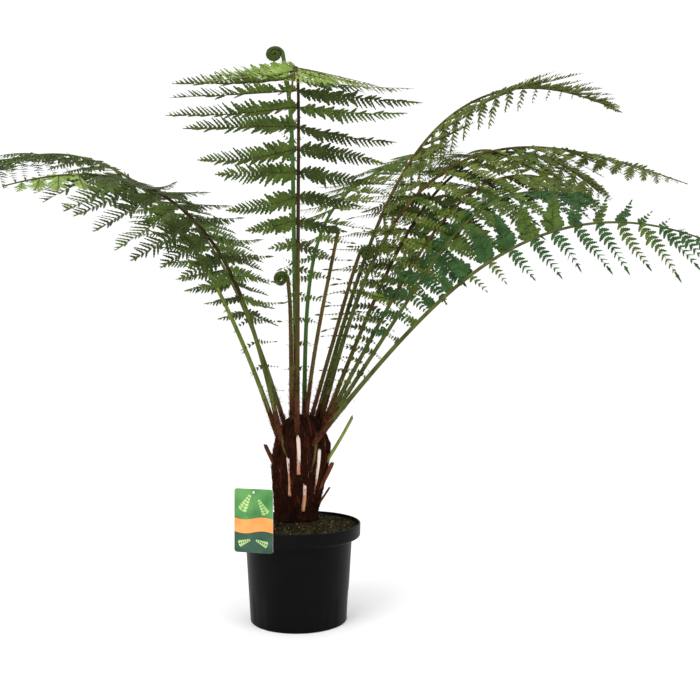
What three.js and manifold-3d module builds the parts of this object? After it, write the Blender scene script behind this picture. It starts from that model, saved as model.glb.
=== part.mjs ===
// Potted tree fern: a nursery pot filled with soil, a short shaggy trunk with the cut stubs of old
// fronds, eleven long fronds, a young one that still unrolls, three croziers and a plant label that
// hooks over the pot's rim.
// Millimetres, +Z up. The origin is the centre of the pot's flat underside.

import * as THREE from 'three';
import { mergeVertices } from 'three/addons/utils/BufferGeometryUtils.js';
import Module from 'manifold-3d';

const wasm = await Module();
wasm.setup();

// Clearances between pieces that touch
const SEAT_GAP = 0.3;
const LEAF_GAP = 0.6;

// Pot: a standard 5 litre nursery pot, 230 mm across the rim
const POT_RIM_R = 115;
const POT_RIM_Z = 180;
const POT_BAND_H = 25;
const POT_STEP = 13;
const POT_BODY_TOP_R = 99;
const POT_BASE_R = 90;
const POT_WALL = 3;
const POT_EDGE = 2;
const POT_RIM_EDGE = 1;
const POT_SIDES = 40;

// Soil: flat round the trunk, then sloping down to the wall
const SOIL_Z = 186;
const SOIL_FLAT_R = 52;
const SOIL_EDGE_Z = 174;

// Trunk: rings of height, radius and sideways shift of the axis
const TRUNK_FOOT_Z = SOIL_Z + SEAT_GAP;
const TRUNK_RINGS = [
  [TRUNK_FOOT_Z, 41, -5],
  [202, 39, -5],
  [228, 42, -2],
  [262, 48, 1],
  [300, 52, 3],
  [326, 50, 5],
  [346, 43, 5],
  [364, 34, 5],
  [376, 22, 6],
  [381, 9, 6],
];
const TRUNK_RIDGES = 9;
const TRUNK_RIDGE_DEPTH = 2.2;
const TRUNK_TWIST = 0.004;
const TRUNK_SIDES = 27;
const TRUNK_CAP_RINGS = 4;

// Cut stubs of old fronds: direction in degrees, foot height, length, outward lean in degrees, radius
const STUBS = [
  { at: 269, foot: 282, length: 62, lean: 2, radius: 4.0 },
  { at: 252, foot: 242, length: 64, lean: 10, radius: 3.6 },
  { at: 313, foot: 244, length: 78, lean: 13, radius: 3.4 },
  { at: 291, foot: 213, length: 44, lean: 13, radius: 3.6 },
  { at: 344, foot: 290, length: 104, lean: 31, radius: 3.2 },
  { at: 335, foot: 246, length: 56, lean: 30, radius: 4.4 },
  { at: 182, foot: 288, length: 40, lean: 26, radius: 4.2 },
  { at: 352, foot: 208, length: 46, lean: 34, radius: 2.2 },
  { at: 125, foot: 250, length: 60, lean: 10, radius: 4.0 },
  { at: 92, foot: 280, length: 58, lean: 6, radius: 3.8 },
  { at: 55, foot: 232, length: 62, lean: 12, radius: 3.6 },
  { at: 18, foot: 262, length: 52, lean: 16, radius: 4.0 },
  { at: 152, foot: 214, length: 48, lean: 14, radius: 3.4 },
];
const STUB_SIDES = 6;
const STUB_INSET = 3;
const STUB_SINK = 6;
const STUB_FLARE = 1.15;
const STUB_TAPER = 0.9;

// Fronds, each in two solids that meet at its bend, so that neither bends round the space under it.
// foot: direction, distance from the trunk's axis and height where the stalk leaves the crown.
// heading and swing: the way the frond leans, and how far that turns along it, in degrees.
// lean: angle from upright at the foot and at the tip. turn: where along the length the arch
// turns over, and how gently. roll: tilt of the blade about its rib, left side up, in degrees, at
// the foot and at the tip. droop: how far a leaflet hangs, as a share of its length. pinna: the
// longest leaflet. swell: how slowly leaflets grow from the foot and shorten towards the tip.
// ahead: how far leaflets turn forward along the frond, in degrees. bare: share of the leafy
// stretch that has lost its leaflets at the foot. least: share of the longest leaflet that the
// lowest ones have. left and right: what differs on that side.
const FRONDS = {
  frond_front: {
    foot: [268, 36, 345], heading: 278, swing: -8, length: 975, lean: [4, 126], turn: [0.63, 0.18],
    roll: [-1, -1], droop: 0.17, pinna: 195, swell: [3.8, 2.8], ahead: 12, bare: 0, stalk: 4.4,
  },
  frond_left: {
    foot: [218, 38, 332], heading: 222, swing: 5, length: 785, lean: [14, 120], turn: [0.64, 0.29],
    roll: [20, -15], droop: 0.12, pinna: 170, swell: [1.4, 0.9], ahead: 12, bare: 0, stalk: 4.6,
    least: 0.2, right: { roll: [80, -10], droop: 0.2, ahead: 20, pinna: 142, swell: [3.4, 2], bare: 0.05 },
  },
  frond_right_low: {
    foot: [303, 46, 326], heading: 349, swing: 4, length: 885, lean: [38, 130], turn: [0.73, 0.31],
    roll: [70, 60], droop: 0, pinna: 94, swell: [2.2, 2], ahead: 26, bare: 0, stalk: 4.6,
    right: { roll: [80, 75], droop: 0.35, ahead: 50, pinna: 88, swell: [3, 1], bare: 0.38 },
  },
  frond_right_front: {
    foot: [328, 43, 338], heading: 3, swing: 3, length: 745, lean: [33, 104], turn: [0.77, 0.15],
    roll: [75, 8], droop: 0.3, pinna: 150, swell: [0.8, 0.6], ahead: 12, bare: 0, stalk: 4.4,
    least: 0.3, right: { least: 0.15, droop: 0.35, pinna: 130, swell: [2.4, 0.8] },
  },
  frond_right_mid: {
    foot: [344, 41, 345], heading: 16, swing: 3, length: 845, lean: [29, 130], turn: [0.78, 0.21],
    roll: [75, 6], droop: 0.3, pinna: 160, swell: [0.8, 0.6], ahead: 12, bare: 0, stalk: 4.4,
    least: 0.3, right: { least: 0.15, droop: 0.35, pinna: 145, swell: [2, 0.8] },
  },
  frond_right_inner: {
    foot: [8, 40, 345], heading: 25, swing: 3, length: 1020, lean: [23, 130], turn: [0.71, 0.25],
    roll: [72, 2], droop: 0.3, pinna: 165, swell: [0.8, 0.6], ahead: 12, bare: 0, stalk: 4.4,
    least: 0.3, right: { least: 0.15, droop: 0.4, ahead: 30, pinna: 150, swell: [1.5, 0.8] },
  },
  frond_right_long: {
    foot: [30, 40, 345], heading: 22, swing: -5, length: 1200, lean: [14, 105], turn: [0.51, 0.24],
    roll: [60, 2], droop: 0.3, pinna: 160, swell: [0.9, 1.1], ahead: 12, bare: 0, stalk: 4.6,
    right: { ahead: 45 },
  },
  frond_right_top: {
    foot: [50, 40, 345], heading: 30, swing: -5, length: 1220, lean: [16, 112], turn: [0.67, 0.28],
    roll: [12, 0], droop: 0, pinna: 150, swell: [1.2, 0.8], ahead: 64, bare: 0, stalk: 4.6,
    left: { roll: [-40, -40], droop: 0.3, ahead: 0, pinna: 130, swell: [1.2, 2.2] },
  },
  frond_back: {
    foot: [78, 38, 345], heading: 63, swing: -6, length: 1000, lean: [0, 68], turn: [0.4, 0.16],
    roll: [0, 0], droop: 0.15, pinna: 150, swell: [1.2, 0.6], ahead: 12, bare: 0, stalk: 4.4,
  },
  frond_back_left: {
    foot: [126, 40, 340], heading: 128, swing: -1, length: 805, lean: [25, 71], turn: [0.56, 0.48],
    roll: [0, 0], droop: 0.25, pinna: 140, swell: [1.3, 0.6], ahead: 12, bare: 0.25, stalk: 4.4,
  },
  frond_left_outer: {
    foot: [165, 40, 335], heading: 159, swing: -4, length: 1060, lean: [19, 120], turn: [0.68, 0.37],
    roll: [0, 0], droop: 0.35, pinna: 150, swell: [2.2, 0.6], ahead: 12, bare: 0, stalk: 4.6,
    right: { pinna: 110 },
  },
};
const FROND_SPACING = 45;
const FROND_FIRST = 0.1;
const FROND_CROWDING = 1.2;
const FROND_STEPS = 64;
const FOOT_SINK = 22;
const RIB_RINGS = 15;
const RIB_SIDES = 4;
const RIB_TIP_R = 0.8;
const RIB_TAPER = 0.75;

// Young shoots: a stalk that ends in a coil. coil: radius, turns and the way it curls, in degrees.
// thick: the coiled limb's radius at its start and at its end.
const SHOOTS = {
  frond_young: {
    foot: [110, 16, 352], heading: 118, swing: -3, length: 740, lean: [2, 22], turn: [0.82, 0.1],
    stalk: 4.4, coil: [16.5, 1.6, 180], thick: [3.4, 2.8], leaflets: 12, leaflet: 26,
  },
  crozier_left: {
    foot: [225, 17, 352], heading: 228, swing: 0, length: 282, lean: [1, 8], turn: [0.83, 0.12],
    stalk: 5.0, coil: [13, 1.6, 180], thick: [3.2, 2], leaflets: 0, leaflet: 0,
  },
  crozier_middle: {
    foot: [318, 17, 352], heading: 325, swing: 0, length: 370, lean: [2, 15], turn: [0.2, 0.4],
    stalk: 4.0, coil: [8, 0.6, 180], thick: [3, 5], leaflets: 0, leaflet: 0,
  },
  crozier_right: {
    foot: [25, 18, 352], heading: 22, swing: 0, length: 355, lean: [17, 20], turn: [0.85, 0.1],
    stalk: 4.0, coil: [13.5, 1.6, 0], thick: [2.9, 2.2], leaflets: 0, leaflet: 0,
  },
};
const YOUNG_BLADE = { roll: [0, 0], droop: 0, swell: [1.2, 0.55], ahead: 12, bare: 0 };
const COIL_RINGS = 18;
const COIL_TIGHTENS = 0.45;

// Leaflet blade: from inside the rib it widens quickly, then tapers to its point. It is flat above,
// with a keel below.
const PINNA_WIDTH = 0.5;
const PINNA_FILL = 0.72;
const PINNA_WIDEST = 0.22;
const PINNA_KEEL = 2.4;
const PINNA_ROOT = 0.6;
const PINNA_VARIES = 0.06;
const PINNA_LEAST = 0.12;
const PINNA_SHARES = [1, 0.8, 0.6, 0.4];

// How far leaflets point forward, in degrees, at the foot, and how much more at the very tip
const FORWARD = { foot: -6, tip: 40 };

// Plant label: a thin card with a hook over the rim
const LABEL_W = 72;
const LABEL_H = 112;
const LABEL_T = 1;
const LABEL_CORNER = 5;
const LABEL_HOLE_R = 2;
const LABEL_CENTRE = [-73.7, -100.4, 202];
const LABEL_TURN = 15;
const LABEL_HOOK_U = 24;
const LABEL_HOOK_W = 14;
const LABEL_HOOK_REACH = 8;
const LABEL_HOOK_DROP = 5;
const LABEL_HOOK_SINK = 0.5;

const UP = new THREE.Vector3(0, 0, 1);
const radians = THREE.MathUtils.degToRad;

// Seeded random numbers between 0 and 1
function randomFrom(seed) {
  let state = seed;
  return () => {
    state = (state + 0x6d2b79f5) | 0;
    let t = Math.imul(state ^ (state >>> 15), 1 | state);
    t = (t + Math.imul(t ^ (t >>> 7), 61 | t)) ^ t;
    return ((t ^ (t >>> 14)) >>> 0) / 4294967296;
  };
}

function polar(direction, distance, height) {
  const a = radians(direction);
  return new THREE.Vector3(distance * Math.cos(a), distance * Math.sin(a), height);
}

// A closed skin over rings of points that all have the same count and turn the same way.
// With a tip, the last ring closes to that point.
function loft(rings, tip) {
  const count = rings[0].length;
  const positions = [];
  const index = [];
  rings.forEach((ring) => ring.forEach((p) => positions.push(p.x, p.y, p.z)));
  for (let r = 0; r + 1 < rings.length; r += 1) {
    for (let i = 0; i < count; i += 1) {
      const a = r * count + i;
      const b = r * count + ((i + 1) % count);
      index.push(a, b, b + count, a, b + count, a + count);
    }
  }
  const top = (rings.length - 1) * count;
  for (let i = 1; i + 1 < count; i += 1) {
    index.push(0, i + 1, i);
    if (!tip) index.push(top, top + i, top + i + 1);
  }
  if (tip) {
    positions.push(tip.x, tip.y, tip.z);
    for (let i = 0; i < count; i += 1) index.push(top + i, top + ((i + 1) % count), top + count);
  }
  const geometry = new THREE.BufferGeometry();
  geometry.setAttribute('position', new THREE.Float32BufferAttribute(positions, 3));
  geometry.setIndex(index);
  return geometry;
}

function solidOf(geometry) {
  const bare = geometry.clone();
  bare.deleteAttribute('normal');
  bare.deleteAttribute('uv');
  const merged = mergeVertices(bare, 1e-4);
  const corners = [];
  const source = merged.index.array;
  for (let i = 0; i < source.length; i += 3) {
    const [a, b, c] = [source[i], source[i + 1], source[i + 2]];
    if (a !== b && b !== c && c !== a) corners.push(a, b, c);
  }
  return new wasm.Manifold(new wasm.Mesh({
    numProp: 3,
    vertProperties: new Float32Array(merged.attributes.position.array),
    triVerts: new Uint32Array(corners),
  }));
}

function geometryOf(solid) {
  const { vertProperties, triVerts } = solid.getMesh();
  const geometry = new THREE.BufferGeometry();
  geometry.setAttribute('position', new THREE.BufferAttribute(vertProperties, 3));
  geometry.setIndex(new THREE.BufferAttribute(triVerts, 1));
  return geometry;
}

function largestOf(solid) {
  return solid.decompose().reduce((best, piece) => (piece.volume() > best.volume() ? piece : best));
}

function ringAround(centre, across, over, radius, sides) {
  const ring = [];
  for (let i = 0; i < sides; i += 1) {
    const a = (2 * Math.PI * i) / sides;
    ring.push(centre.clone()
      .addScaledVector(across, radius * Math.cos(a))
      .addScaledVector(over, radius * Math.sin(a)));
  }
  return ring;
}

function tangentsOf(points) {
  return points.map((_, i) => {
    const before = points[Math.max(i - 1, 0)];
    const after = points[Math.min(i + 1, points.length - 1)];
    return after.clone().sub(before).normalize();
  });
}

// A tapering limb through points, its section square to the tangents and carried along without twist
function limb({ points, tangents, radii }, sides) {
  let across = new THREE.Vector3(0, 1, 0);
  const rings = points.map((point, i) => {
    const tangent = tangents[i];
    across = across.clone().addScaledVector(tangent, -across.dot(tangent)).normalize();
    const over = tangent.clone().cross(across);
    return ringAround(point, across, over, radii[i], sides);
  });
  return loft(rings);
}

// The rib of a frond: points and tangents at FROND_STEPS even steps along its length
function ribPath(frond) {
  const [direction, distance, height] = frond.foot;
  const points = [polar(direction, distance, height)];
  const tangents = [];
  const step = frond.length / FROND_STEPS;
  for (let i = 0; i < FROND_STEPS; i += 1) {
    const t = (i + 0.5) / FROND_STEPS;
    const over = 0.5 + 0.5 * Math.tanh((t - frond.turn[0]) / frond.turn[1]);
    const lean = radians(frond.lean[0] + (frond.lean[1] - frond.lean[0]) * over);
    const heading = radians(frond.heading + frond.swing * t);
    const tangent = new THREE.Vector3(
      Math.sin(lean) * Math.cos(heading),
      Math.sin(lean) * Math.sin(heading),
      Math.cos(lean),
    );
    tangents.push(tangent);
    points.push(points[i].clone().addScaledVector(tangent, step));
  }
  tangents.push(tangents[FROND_STEPS - 1].clone());
  return { points, tangents };
}

function along(path, t) {
  const place = Math.min(t * FROND_STEPS, FROND_STEPS - 1e-6);
  const i = Math.floor(place);
  const point = path.points[i].clone().lerp(path.points[i + 1], place - i);
  return { point, tangent: path.tangents[i].clone() };
}

function ribRadius(frond, t) {
  return RIB_TIP_R + (frond.stalk - RIB_TIP_R) * (1 - t) ** RIB_TAPER;
}

// The rib's centre line, directions and radii between two places along it. The stretch that starts
// at the foot also reaches back into the crown.
function rib(frond, path, from, to) {
  const sunk = path.points[0].clone().addScaledVector(path.tangents[0], -FOOT_SINK);
  const points = from > 0 ? [] : [sunk];
  const tangents = from > 0 ? [] : [path.tangents[0].clone()];
  const radii = from > 0 ? [] : [frond.stalk];
  const rings = Math.ceil(RIB_RINGS * (to - from));
  for (let i = 0; i <= rings; i += 1) {
    const t = from + ((to - from) * i) / rings;
    const { point, tangent } = along(path, t);
    points.push(point);
    tangents.push(tangent);
    radii.push(ribRadius(frond, t));
  }
  return { points, tangents, radii };
}

function pairCount(frond) {
  return Math.round((frond.length * (1 - FROND_FIRST)) / FROND_SPACING);
}

// How far along the frond a pair of leaflets sits. Pairs stand closer together towards the tip.
function pairPlace(frond, pair) {
  const u = 1 - (1 - (pair + 0.6) / pairCount(frond)) ** FROND_CROWDING;
  return { u, t: FROND_FIRST + (1 - FROND_FIRST) * u };
}

// The frond's two stretches, cut midway between two pairs of leaflets at the bend
function stretchesOf(frond) {
  let pair = 0;
  while (pairPlace(frond, pair + 1).t < frond.turn[0]) pair += 1;
  const cut = (pairPlace(frond, pair).t + pairPlace(frond, pair + 1).t) / 2;
  const gap = SEAT_GAP / frond.length;
  return { lower: [0, cut - gap / 2], upper: [cut + gap / 2, 1] };
}

// Share of the longest leaflet that one has at u, from 0 at the lowest pair to 1 at the tip
function pinnaShare(u, [foot, tip], least = PINNA_LEAST) {
  const swell = (x) => x ** foot * (1 - x) ** tip;
  const share = swell(u) / swell(foot / (foot + tip));
  return u < 0.5 ? Math.max(share, least) : share;
}

// One leaflet, from inside the rib out to its drooping point
function pinna({ root, out, width, spread, droop, rootR }, reach) {
  const normal = out.clone().cross(width).normalize();
  const spine = (s) => {
    const centre = root.clone().addScaledVector(out, reach * s);
    centre.z -= droop * reach * s * s;
    return centre;
  };
  const section = (s, halfWidth, keel) => [
    spine(s).addScaledVector(width, halfWidth),
    spine(s).addScaledVector(width, -halfWidth),
    spine(s).addScaledVector(normal, -keel),
  ];
  return loft([section(0, rootR, rootR), section(PINNA_WIDEST, spread / 2, PINNA_KEEL)], spine(1));
}

// The way a leaflet of one hand points, square to the rib before it turns forward
function sideways(tangent, roll, hand) {
  const level = UP.clone().cross(tangent).normalize();
  const above = tangent.clone().cross(level).normalize();
  return level.multiplyScalar(hand * Math.cos(roll)).addScaledVector(above, hand * Math.sin(roll));
}

// Leaflets of one frond, each as a function of the length it is given, so it can be shortened
function pinnaPlans(frond, path, seed) {
  const random = randomFrom(seed);
  const plans = [];
  for (let pair = 0; pair < pairCount(frond); pair += 1) {
    const { u, t } = pairPlace(frond, pair);
    const { point, tangent } = along(path, t);
    for (const hand of [1, -1]) {
      const habit = { ...frond, ...(hand > 0 ? frond.left : frond.right) };
      if (u < habit.bare) continue;
      const roll = radians(THREE.MathUtils.lerp(...habit.roll, t));
      const forward = radians(FORWARD.foot + habit.ahead * u + FORWARD.tip * u ** 4);
      const out = sideways(tangent, roll, hand).multiplyScalar(Math.cos(forward))
        .addScaledVector(tangent, Math.sin(forward)).normalize();
      const width = tangent.clone().addScaledVector(out, -tangent.dot(out)).normalize();
      if (hand < 0) width.negate();
      const varied = 1 - PINNA_VARIES + 2 * PINNA_VARIES * random();
      const reach = habit.pinna * pinnaShare(u, habit.swell, habit.least) * varied;
      const spread = Math.min(FROND_SPACING * PINNA_FILL, reach * PINNA_WIDTH);
      const rootR = PINNA_ROOT * ribRadius(frond, t);
      const blade = { root: point, out, width, spread, droop: habit.droop, rootR };
      plans.push({ t, at: (share) => solidOf(pinna(blade, reach * share)) });
    }
  }
  return plans;
}

// The coil at a shoot's end, in the upright plane that faces the way it curls
function coilPoints(end, tangent, coil) {
  const [radius, turns, direction] = coil;
  const curl = polar(direction, 1, 0);
  curl.addScaledVector(tangent, -curl.dot(tangent)).normalize();
  const centre = end.clone().addScaledVector(curl, radius);
  const points = [];
  for (let i = 1; i <= COIL_RINGS; i += 1) {
    const share = i / COIL_RINGS;
    const angle = 2 * Math.PI * turns * share;
    const r = radius * (1 - COIL_TIGHTENS * turns * share);
    points.push(centre.clone()
      .addScaledVector(curl, -r * Math.cos(angle))
      .addScaledVector(tangent, r * Math.sin(angle)));
  }
  return points;
}

function shootLimb(shoot, path) {
  const stalk = rib(shoot, path, 0, 1).points;
  const last = stalk.length - 1;
  const mix = THREE.MathUtils.lerp;
  const stalkRadii = stalk.map((_, i) => mix(shoot.stalk, shoot.thick[0], i / last));
  const coil = coilPoints(stalk[last], path.tangents[FROND_STEPS], shoot.coil);
  const coilRadii = coil.map((_, i) => mix(...shoot.thick, i / COIL_RINGS));
  const points = [...stalk, ...coil];
  const radii = [...stalkRadii, ...coilRadii];
  return solidOf(limb({ points, tangents: tangentsOf(points), radii }, RIB_SIDES));
}

function trunkRadius(radius, height, angle) {
  return radius + TRUNK_RIDGE_DEPTH * Math.cos(TRUNK_RIDGES * (angle + TRUNK_TWIST * height));
}

function trunkBody(clearance) {
  const capFrom = TRUNK_RINGS.length - TRUNK_CAP_RINGS;
  const rings = TRUNK_RINGS.map(([height, radius, shift], i) => {
    const ring = [];
    for (let k = 0; k < TRUNK_SIDES; k += 1) {
      const angle = (2 * Math.PI * k) / TRUNK_SIDES;
      const r = trunkRadius(radius, height, angle) + clearance;
      const z = height + (i >= capFrom ? clearance : 0);
      ring.push(new THREE.Vector3(shift + r * Math.cos(angle), r * Math.sin(angle), z));
    }
    return ring;
  });
  return solidOf(loft(rings));
}

function trunkAt(height) {
  let i = 0;
  while (i < TRUNK_RINGS.length - 2 && TRUNK_RINGS[i + 1][0] < height) i += 1;
  const [z0, r0, x0] = TRUNK_RINGS[i];
  const [z1, r1, x1] = TRUNK_RINGS[i + 1];
  const share = (height - z0) / (z1 - z0);
  return { radius: r0 + (r1 - r0) * share, shift: x0 + (x1 - x0) * share };
}

function stubSolid(stub, clearance) {
  const { radius, shift } = trunkAt(stub.foot);
  const foot = polar(stub.at, radius - STUB_INSET, stub.foot);
  foot.x += shift;
  const lean = radians(stub.lean);
  const rise = polar(stub.at, Math.sin(lean), Math.cos(lean));
  const sunk = foot.clone().addScaledVector(rise, -STUB_SINK);
  const top = foot.clone().addScaledVector(rise, stub.length + clearance);
  const thick = stub.radius + clearance;
  const radii = [thick * STUB_FLARE, thick * STUB_TAPER];
  return solidOf(limb({ points: [sunk, top], tangents: [rise, rise], radii }, STUB_SIDES));
}

function trunkSolid(clearance) {
  const stubs = STUBS.map((stub) => stubSolid(stub, clearance));
  return wasm.Manifold.union([trunkBody(clearance), ...stubs]);
}

function lathe(profile) {
  const points = profile.map(([r, z]) => new THREE.Vector2(r, z));
  return new THREE.LatheGeometry(points, POT_SIDES).rotateX(Math.PI / 2);
}

function potSolid() {
  const bandZ = POT_RIM_Z - POT_BAND_H;
  const innerRim = POT_RIM_R - POT_WALL;
  return solidOf(lathe([
    [0, 0],
    [POT_BASE_R - POT_EDGE, 0],
    [POT_BASE_R, POT_EDGE],
    [POT_BODY_TOP_R, bandZ - POT_EDGE],
    [POT_BODY_TOP_R + POT_STEP, bandZ],
    [POT_RIM_R - POT_RIM_EDGE, bandZ + POT_EDGE],
    [POT_RIM_R, POT_RIM_Z - POT_EDGE],
    [POT_RIM_R - POT_RIM_EDGE, POT_RIM_Z],
    [innerRim, POT_RIM_Z],
    [innerRim - POT_RIM_EDGE, bandZ + POT_WALL],
    [POT_BODY_TOP_R - POT_WALL, bandZ + POT_WALL - POT_EDGE],
    [POT_BASE_R - POT_WALL, POT_WALL],
    [0, POT_WALL],
  ]));
}

function soilSolid() {
  const bandZ = POT_RIM_Z - POT_BAND_H;
  const bodyR = POT_BODY_TOP_R - POT_WALL - 2 * SEAT_GAP;
  const rimR = POT_RIM_R - POT_WALL - POT_RIM_EDGE - SEAT_GAP;
  return solidOf(lathe([
    [0, POT_WALL + SEAT_GAP],
    [POT_BASE_R - POT_WALL - 2 * SEAT_GAP, POT_WALL + SEAT_GAP],
    [bodyR, bandZ + POT_WALL - POT_EDGE + SEAT_GAP],
    [rimR - SEAT_GAP, bandZ + POT_WALL + SEAT_GAP],
    [rimR, SOIL_EDGE_Z],
    [SOIL_FLAT_R, SOIL_Z],
    [0, SOIL_Z],
  ]));
}

function cardShape() {
  const w = LABEL_W / 2;
  const h = LABEL_H / 2;
  const r = LABEL_CORNER;
  const shape = new THREE.Shape();
  shape.absarc(w - r, -h + r, r, -Math.PI / 2, 0);
  shape.absarc(w - r, h - r, r, 0, Math.PI / 2);
  shape.absarc(-w + r, h - r, r, Math.PI / 2, Math.PI);
  shape.absarc(-w + r, -h + r, r, Math.PI, 1.5 * Math.PI);
  shape.closePath();
  const hole = new THREE.Path();
  hole.absarc(0, h - 3 * LABEL_HOLE_R, LABEL_HOLE_R, 0, 2 * Math.PI, true);
  shape.holes.push(hole);
  return shape;
}

// The hook: back from the card over the rim, then down inside the wall. Local x runs away from
// the card towards the pot's axis, and local y is up.
function hookShape(rimTop, wallIn) {
  const t = LABEL_T;
  const shape = new THREE.Shape();
  shape.moveTo(-LABEL_HOOK_SINK, rimTop);
  shape.lineTo(wallIn, rimTop);
  shape.lineTo(wallIn, rimTop - LABEL_HOOK_DROP);
  shape.lineTo(wallIn + t, rimTop - LABEL_HOOK_DROP);
  shape.lineTo(wallIn + t, rimTop + t);
  shape.lineTo(-LABEL_HOOK_SINK, rimTop + t);
  shape.closePath();
  return shape;
}

function labelSolid() {
  const card = new THREE.ExtrudeGeometry(cardShape(), {
    depth: LABEL_T, bevelEnabled: false, curveSegments: 5,
  });
  card.rotateX(Math.PI / 2);
  card.translate(0, LABEL_T, 0);
  const rimTop = POT_RIM_Z + SEAT_GAP - LABEL_CENTRE[2];
  const hook = new THREE.ExtrudeGeometry(hookShape(rimTop, LABEL_HOOK_REACH), {
    depth: LABEL_HOOK_W, bevelEnabled: false,
  });
  hook.rotateX(Math.PI / 2).rotateZ(Math.PI / 2);
  hook.translate(LABEL_HOOK_U - LABEL_HOOK_W / 2, LABEL_T, 0);
  return solidOf(card).add(solidOf(hook));
}

// Plain colours of the pieces
const paint = (color, roughness) => new THREE.MeshStandardMaterial({ color, roughness, metalness: 0 });
const PAINTS = {
  pot: paint(0x161616, 0.45),
  soil: paint(0x2d2d19, 1),
  trunk: paint(0x3a1a12, 0.95),
  frond: paint(0x3e5a1e, 0.6),
  shoot: paint(0x4f4a22, 0.8),
  label: paint(0xf0954a, 0.4),
};

function pieceOf(name, solid, material, foot = new THREE.Vector3()) {
  const mesh = new THREE.Mesh(geometryOf(solid.translate([-foot.x, -foot.y, -foot.z])), material);
  mesh.name = name;
  mesh.position.copy(foot);
  return mesh;
}

function boxesMeet(a, b) {
  return [0, 1, 2].every((k) => a.min[k] - LEAF_GAP < b.max[k] && b.min[k] - LEAF_GAP < a.max[k]);
}

function isClear(solid, others) {
  const box = solid.boundingBox();
  return others.every((other) => !boxesMeet(box, other.box)
    || solid.minGap(other.solid, LEAF_GAP) >= LEAF_GAP);
}

// A leaflet that would touch another limb is shortened, and skipped when it still would
function grown(plan, others) {
  for (const share of PINNA_SHARES) {
    const solid = plan.at(share);
    if (isClear(solid, others)) return solid;
  }
  return null;
}

function boxed(owner, solid) {
  return { owner, solid, box: solid.boundingBox() };
}

// Small leaflets in pairs along the upper part of an unrolling shoot
function leafletPlans(shoot, path, seed) {
  const young = { ...shoot, ...YOUNG_BLADE, pinna: shoot.leaflet };
  const plans = pinnaPlans(young, path, seed);
  const skip = plans.length - 2 * shoot.leaflets;
  return plans.slice(skip, plans.length - 2);
}

// The limbs of the crown, each with the plans of its leaflets
function crownLimbs(trunkWithGap) {
  const limbs = [];
  let seed = 11;
  for (const [name, frond] of Object.entries(FRONDS)) {
    const path = ribPath(frond);
    const plans = pinnaPlans(frond, path, (seed += 1));
    for (const [half, [from, to]] of Object.entries(stretchesOf(frond))) {
      const stretch = rib(frond, path, from, to);
      const solid = solidOf(limb(stretch, RIB_SIDES)).subtract(trunkWithGap);
      const own = plans.filter(({ t }) => t > from && t < to);
      limbs.push({ ...boxed(`${name}_${half}`, solid), plans: own, foot: along(path, from).point });
    }
  }
  for (const [name, shoot] of Object.entries(SHOOTS)) {
    const path = ribPath(shoot);
    const plans = shoot.leaflets ? leafletPlans(shoot, path, (seed += 1)) : [];
    const solid = shootLimb(shoot, path).subtract(trunkWithGap);
    limbs.push({ ...boxed(name, solid), plans, foot: along(path, 0).point });
  }
  return limbs;
}

function crown(trunkWithGap) {
  const limbs = crownLimbs(trunkWithGap);
  const placed = [boxed('trunk', trunkWithGap)];
  return limbs.map(({ owner, solid, plans, foot }) => {
    const others = [...limbs.filter((other) => other.owner !== owner), ...placed];
    const leaflets = plans.map((plan) => grown(plan, others)).filter((leaf) => leaf);
    placed.push(...leaflets.map((leaf) => boxed(owner, leaf)));
    return { name: owner, solid: largestOf(wasm.Manifold.union([solid, ...leaflets])), foot };
  });
}

const fern = new THREE.Group();
fern.name = 'tree_fern';
fern.add(pieceOf('pot', potSolid(), PAINTS.pot));
fern.add(pieceOf('soil', soilSolid(), PAINTS.soil));
fern.add(pieceOf('trunk', trunkSolid(0), PAINTS.trunk));

for (const { name, solid, foot } of crown(trunkSolid(SEAT_GAP))) {
  const material = SHOOTS[name] ? PAINTS.shoot : PAINTS.frond;
  fern.add(pieceOf(name, solid, material, foot));
}

const label = pieceOf('plant_label', labelSolid(), PAINTS.label);
label.position.set(...LABEL_CENTRE);
label.rotation.z = -radians(LABEL_TURN);
fern.add(label);

export default fern;
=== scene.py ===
"""Looks of the potted tree fern: fine fronds, croziers, a shaggy trunk, soil, pot and label.

Sizes are in millimetres, and become metres where a mesh is made. +Z is up, and the origin is the
centre of the pot's flat underside.
"""

import math

import bpy
import numpy as np
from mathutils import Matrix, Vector, geometry, noise


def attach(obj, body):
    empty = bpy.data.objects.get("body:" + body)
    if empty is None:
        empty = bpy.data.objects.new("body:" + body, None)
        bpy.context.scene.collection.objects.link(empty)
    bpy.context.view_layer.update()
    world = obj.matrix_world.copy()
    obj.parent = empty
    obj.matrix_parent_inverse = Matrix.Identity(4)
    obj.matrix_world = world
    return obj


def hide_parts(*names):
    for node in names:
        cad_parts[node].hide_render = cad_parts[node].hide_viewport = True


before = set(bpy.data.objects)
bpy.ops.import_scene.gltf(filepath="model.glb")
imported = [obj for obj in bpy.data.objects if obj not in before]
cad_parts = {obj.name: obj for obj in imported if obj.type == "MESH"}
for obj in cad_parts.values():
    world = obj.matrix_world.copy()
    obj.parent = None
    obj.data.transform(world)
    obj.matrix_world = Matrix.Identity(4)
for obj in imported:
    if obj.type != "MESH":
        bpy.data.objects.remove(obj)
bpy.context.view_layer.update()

MM = 0.001
UP = np.array([0.0, 0.0, 1.0])
GRAIN_RELIEF = 0.6 * MM

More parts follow.
